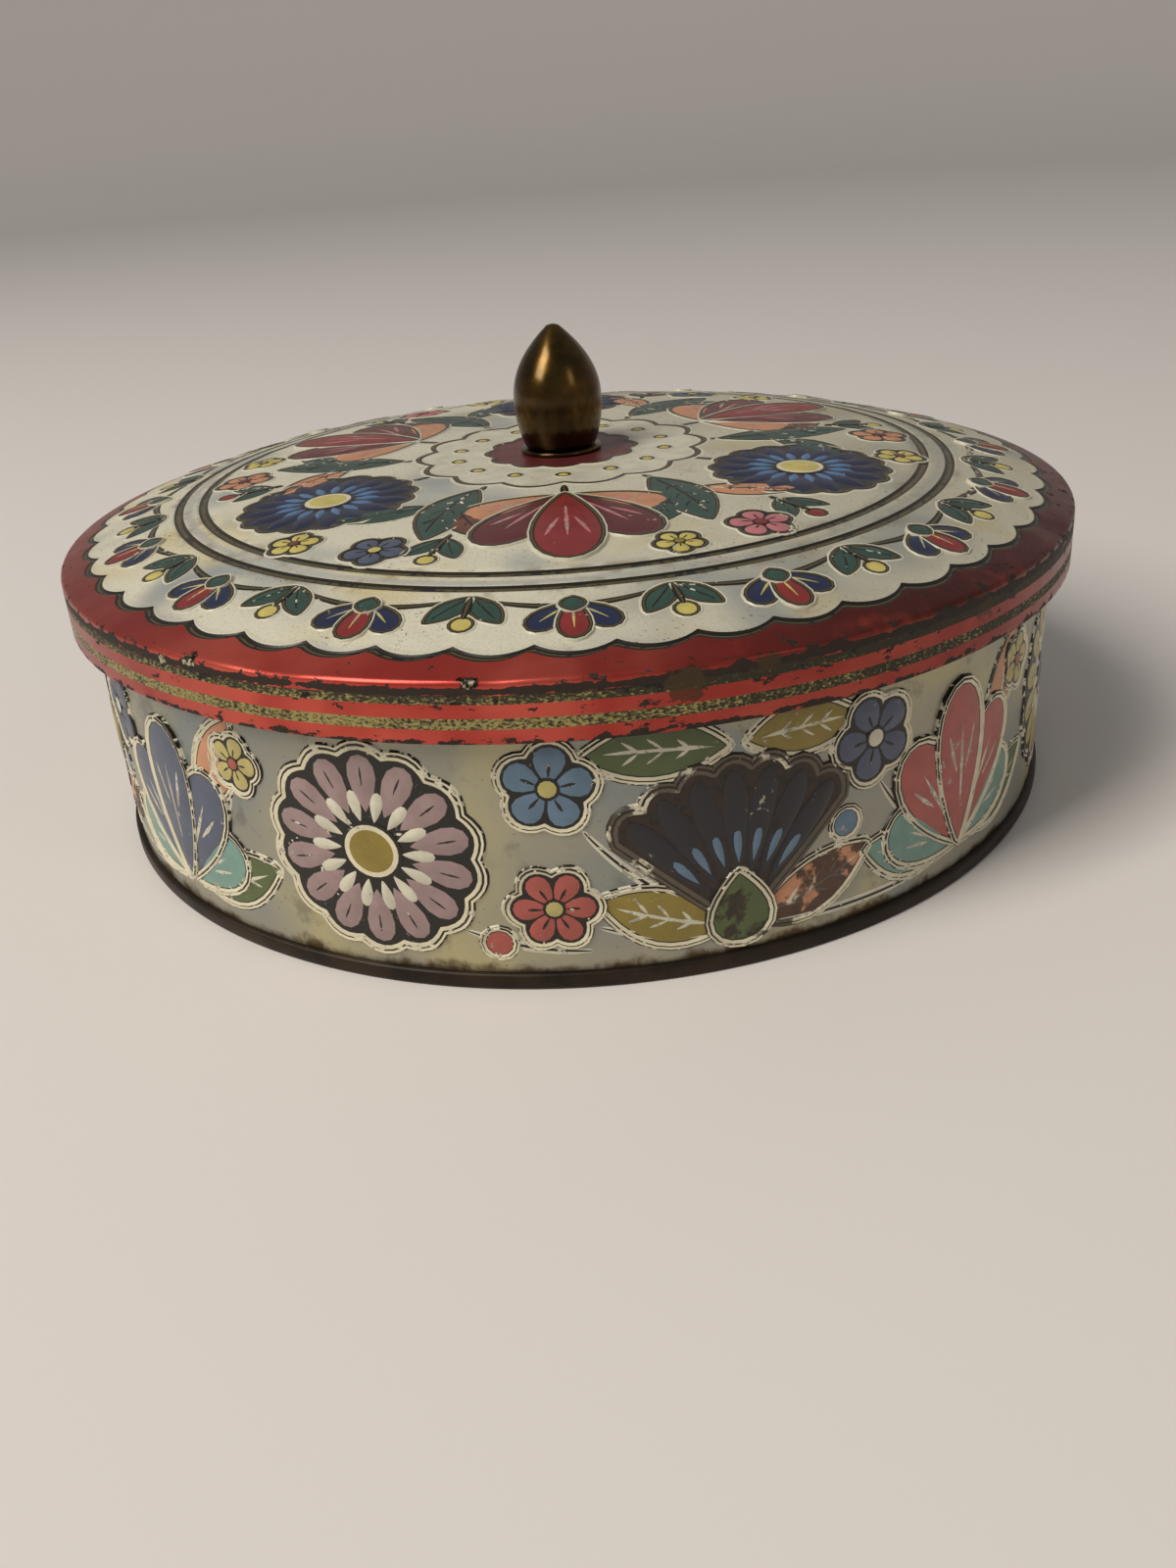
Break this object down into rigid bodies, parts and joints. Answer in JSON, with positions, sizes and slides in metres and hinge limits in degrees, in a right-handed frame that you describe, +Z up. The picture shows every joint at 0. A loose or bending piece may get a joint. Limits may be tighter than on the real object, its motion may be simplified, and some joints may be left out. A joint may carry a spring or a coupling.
{
  "type": "bobbin box",
  "caption": "Round tinplate box for bobbins and sewing notions, with a domed lift-off slip lid, a pointed brass knob and a recessed base double seamed to the wall.",
  "frame": {"origin": "centre of the plane that the tin stands on, under the axis of the round wall", "axes": "+Z up along the axis of the tin, through the knob; -Y is the side that faces the picture's camera; the wall's side seam is at +Y"},
  "size_m": [0.2032, 0.2032, 0.091],
  "materials": {
    "wall_print": "satin lithographed tinplate, embossed, with worn outlines",
    "base_tinplate": "dark oxidised tinplate",
    "lid_print": "glossy lithographed tinplate, embossed, with a red rim",
    "knob_brass": "bronzed and polished by handling",
    "fastener_steel": "plain steel"
  },
  "bodies": {
    "box": {"body_wall": "wall_print", "base_plate": "base_tinplate"},
    "knob": {"knob_shell": "knob_brass", "knob_bush": "fastener_steel", "knob_collar": "knob_brass", "knob_screw": "fastener_steel", "screw_washer": "fastener_steel"},
    "lid": {"lid_shell": "lid_print"}
  },
  "joints": [
    {"name": "lid_lift", "type": "slide", "parent": "box", "child": "knob", "axis": [0, 0, 1], "range_m": [0, 0.12]},
    {"name": "lid_turn", "type": "hinge", "parent": "knob", "child": "lid", "pos_m": [0, 0, 0.066], "axis": [0, 0, 1], "continuous": true}
  ]
}
